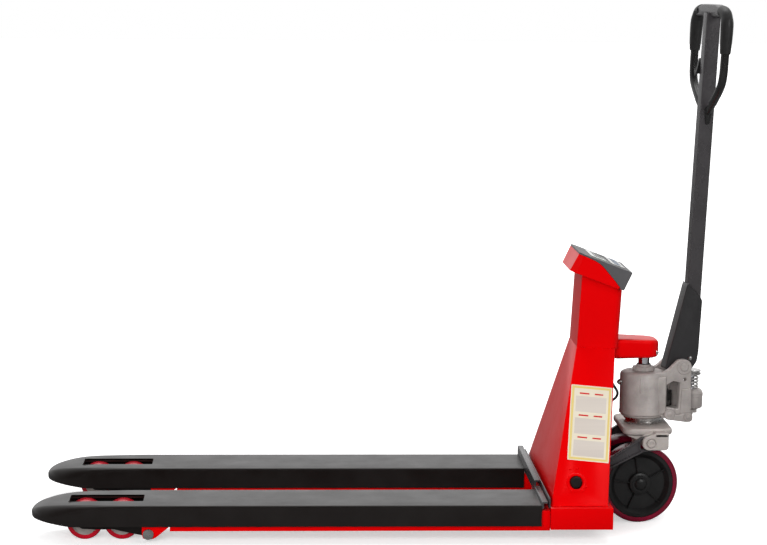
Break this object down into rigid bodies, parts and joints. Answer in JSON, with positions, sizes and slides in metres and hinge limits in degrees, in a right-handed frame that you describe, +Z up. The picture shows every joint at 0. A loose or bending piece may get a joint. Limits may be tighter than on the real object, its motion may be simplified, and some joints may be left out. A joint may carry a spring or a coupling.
{
  "type": "pallet jack",
  "caption": "Hand pallet jack with weigh forks, a leaning red mast with an indicator head, a steered hydraulic pump and a loop handle.",
  "frame": {"origin": "centre of the jack's footprint box, on the floor", "axes": "+X from the fork tips towards the operator's handle, +Y across the forks, +Z up"},
  "size_m": [1.566, 0.555, 1.186],
  "materials": {
    "red_paint": "glossy powder coat",
    "black_paint": "satin powder coat",
    "graphite_paint": "satin powder coat",
    "casting": "silver-grey painted casting",
    "steel": "zinc plated",
    "chrome": "polished",
    "rubber": "matt",
    "red_polyurethane": "moulded polyurethane",
    "dark_polyurethane": "moulded polyurethane",
    "grey_plastic": "matt",
    "display_glass": "glossy",
    "pale_overlay": "satin film"
  },
  "bodies": {
    "thrust_yoke": {"thrust_yoke": "casting", "yoke_pin_left": "steel", "yoke_pin_right": "steel", "thrust_bearing": "steel"},
    "steer_unit": {"pump_body": "casting", "gland_nut": "casting", "filler_plug": "steel", "plunger_cylinder": "casting", "plunger_spring": "steel", "pivot_pin": "steel", "steering_post": "casting", "wheel_axle": "steel"},
    "plunger": {"plunger": "chrome", "plunger_cap": "steel"},
    "release_lever": {"release_lever": "casting"},
    "handle": {"handle_bracket": "graphite_paint", "handle_tube": "graphite_paint", "handle_loop": "graphite_paint", "grip_left": "rubber", "grip_right": "rubber"},
    "pressure_roller": {"pressure_roller": "steel"},
    "trigger": {"control_trigger": "rubber"},
    "chassis": {"fork_cover_left": "black_paint", "fork_frame_left": "red_paint", "fork_cover_right": "black_paint", "fork_frame_right": "red_paint", "load_cell_left_front": "steel", "load_cell_left_rear": "steel", "load_cell_right_front": "steel", "load_cell_right_rear": "steel", "heel_plate": "black_paint", "base_frame": "red_paint", "tower_shell": "red_paint", "column": "red_paint", "piston_arm": "red_paint", "ram": "chrome", "head_shell": "red_paint", "head_bezel": "grey_plastic", "display_window": "display_glass", "keypad": "pale_overlay", "sensor_cable": "rubber"},
    "rocker": {"torsion_shaft": "black_paint", "rocker_arm_left": "black_paint", "rocker_arm_right": "black_paint"},
    "push_rods": {"push_rod_left": "red_paint", "push_rod_right": "red_paint"},
    "roller_frames": {"roller_frame_left": "black_paint", "roller_frame_right": "black_paint"},
    "bogies": {"roller_bogie_left": "black_paint", "roller_bogie_right": "black_paint"},
    "wheel_left": {"wheel_tyre_left": "dark_polyurethane", "wheel_hub_left": "black_paint"},
    "roller_left_front": {"load_roller_left_front": "red_polyurethane"},
    "roller_left_rear": {"load_roller_left_rear": "red_polyurethane"},
    "wheel_right": {"wheel_tyre_right": "dark_polyurethane", "wheel_hub_right": "black_paint"},
    "roller_right_front": {"load_roller_right_front": "red_polyurethane"},
    "roller_right_rear": {"load_roller_right_rear": "red_polyurethane"}
  },
  "joints": [
    {"name": "steer", "type": "hinge", "parent": "thrust_yoke", "child": "steer_unit", "pos_m": [0.60999, 0, 0.23], "axis": [0, 0, 1], "range_deg": [-94, 76]},
    {"name": "handle_tilt", "type": "hinge", "parent": "steer_unit", "child": "handle", "pos_m": [0.69197, 0.01298, 0.354], "axis": [-0.1564, 0.9877, 0], "range_deg": [0, 78], "stiffness_Nm_per_rad": 12, "springref_deg": -40.11},
    {"name": "trigger_pull", "type": "hinge", "parent": "handle", "child": "trigger", "pos_m": [0.74486, 0.04085, 1.06], "axis": [0.1564, -0.9877, 0], "range_deg": [0, 18], "stiffness_Nm_per_rad": 1, "springref_deg": -11.46},
    {"name": "release_lever_turn", "type": "hinge", "parent": "steer_unit", "child": "release_lever", "pos_m": [0.70828, -0.03566, 0.2382], "axis": [-0.1564, 0.9877, 0], "range_deg": [-0.1, 9.2]},
    {"name": "plunger_stroke", "type": "slide", "parent": "steer_unit", "child": "plunger", "axis": [0, 0, -1], "range_m": [-0.0001, 0.0241], "deforming": ["plunger_spring"]},
    {"name": "pressure_roller_spin", "type": "hinge", "parent": "handle", "child": "pressure_roller", "pos_m": [0.71469, 0.01658, 0.353], "axis": [-0.1564, 0.9877, 0], "continuous": true},
    {"name": "lift", "type": "slide", "parent": "thrust_yoke", "child": "chassis", "axis": [0, 0, 1], "range_m": [0, 0.115]},
    {"name": "rocker_turn", "type": "hinge", "parent": "chassis", "child": "rocker", "pos_m": [0.42899, 0, 0.127], "axis": [0, 1, 0], "range_deg": [-0.1, 34.62]},
    {"name": "push_rod_travel", "type": "slide", "parent": "chassis", "child": "push_rods", "axis": [-1, 0, 0], "range_m": [-0.0001, 0.04159]},
    {"name": "roller_frame_swing", "type": "hinge", "parent": "chassis", "child": "roller_frames", "pos_m": [-0.52131, 0, 0.021], "axis": [0, 1, 0], "range_deg": [-72.3, 0.1]},
    {"name": "bogie_level", "type": "hinge", "parent": "roller_frames", "child": "bogies", "pos_m": [-0.62251, 0, 0.048], "axis": [0, 1, 0], "range_deg": [-0.1, 72.3]},
    {"name": "wheel_left_spin", "type": "hinge", "parent": "steer_unit", "child": "wheel_left", "pos_m": [0.57618, 0.04729, 0.09], "axis": [-0.1564, 0.9877, 0], "continuous": true},
    {"name": "roller_left_front_spin", "type": "hinge", "parent": "bogies", "child": "roller_left_front", "pos_m": [-0.66371, 0.195, 0.04], "axis": [0, 1, 0], "continuous": true},
    {"name": "roller_left_rear_spin", "type": "hinge", "parent": "bogies", "child": "roller_left_rear", "pos_m": [-0.58131, 0.195, 0.04], "axis": [0, 1, 0], "continuous": true},
    {"name": "wheel_right_spin", "type": "hinge", "parent": "steer_unit", "child": "wheel_right", "pos_m": [0.59245, -0.05543, 0.09], "axis": [-0.1564, 0.9877, 0], "continuous": true},
    {"name": "roller_right_front_spin", "type": "hinge", "parent": "bogies", "child": "roller_right_front", "pos_m": [-0.66371, -0.195, 0.04], "axis": [0, 1, 0], "continuous": true},
    {"name": "roller_right_rear_spin", "type": "hinge", "parent": "bogies", "child": "roller_right_rear", "pos_m": [-0.58131, -0.195, 0.04], "axis": [0, 1, 0], "continuous": true}
  ],
  "couplings": [
    {"joint": "release_lever_turn", "follows": "trigger_pull", "ratio": 0.5},
    {"joint": "plunger_stroke", "follows": "handle_tilt", "m_per_rad": 0.017629},
    {"joint": "rocker_turn", "follows": "lift", "rad_per_m": 5.2235},
    {"joint": "push_rod_travel", "follows": "lift", "ratio": 0.36081},
    {"joint": "roller_frame_swing", "follows": "lift", "rad_per_m": -10.942},
    {"joint": "bogie_level", "follows": "lift", "rad_per_m": 10.942}
  ]
}
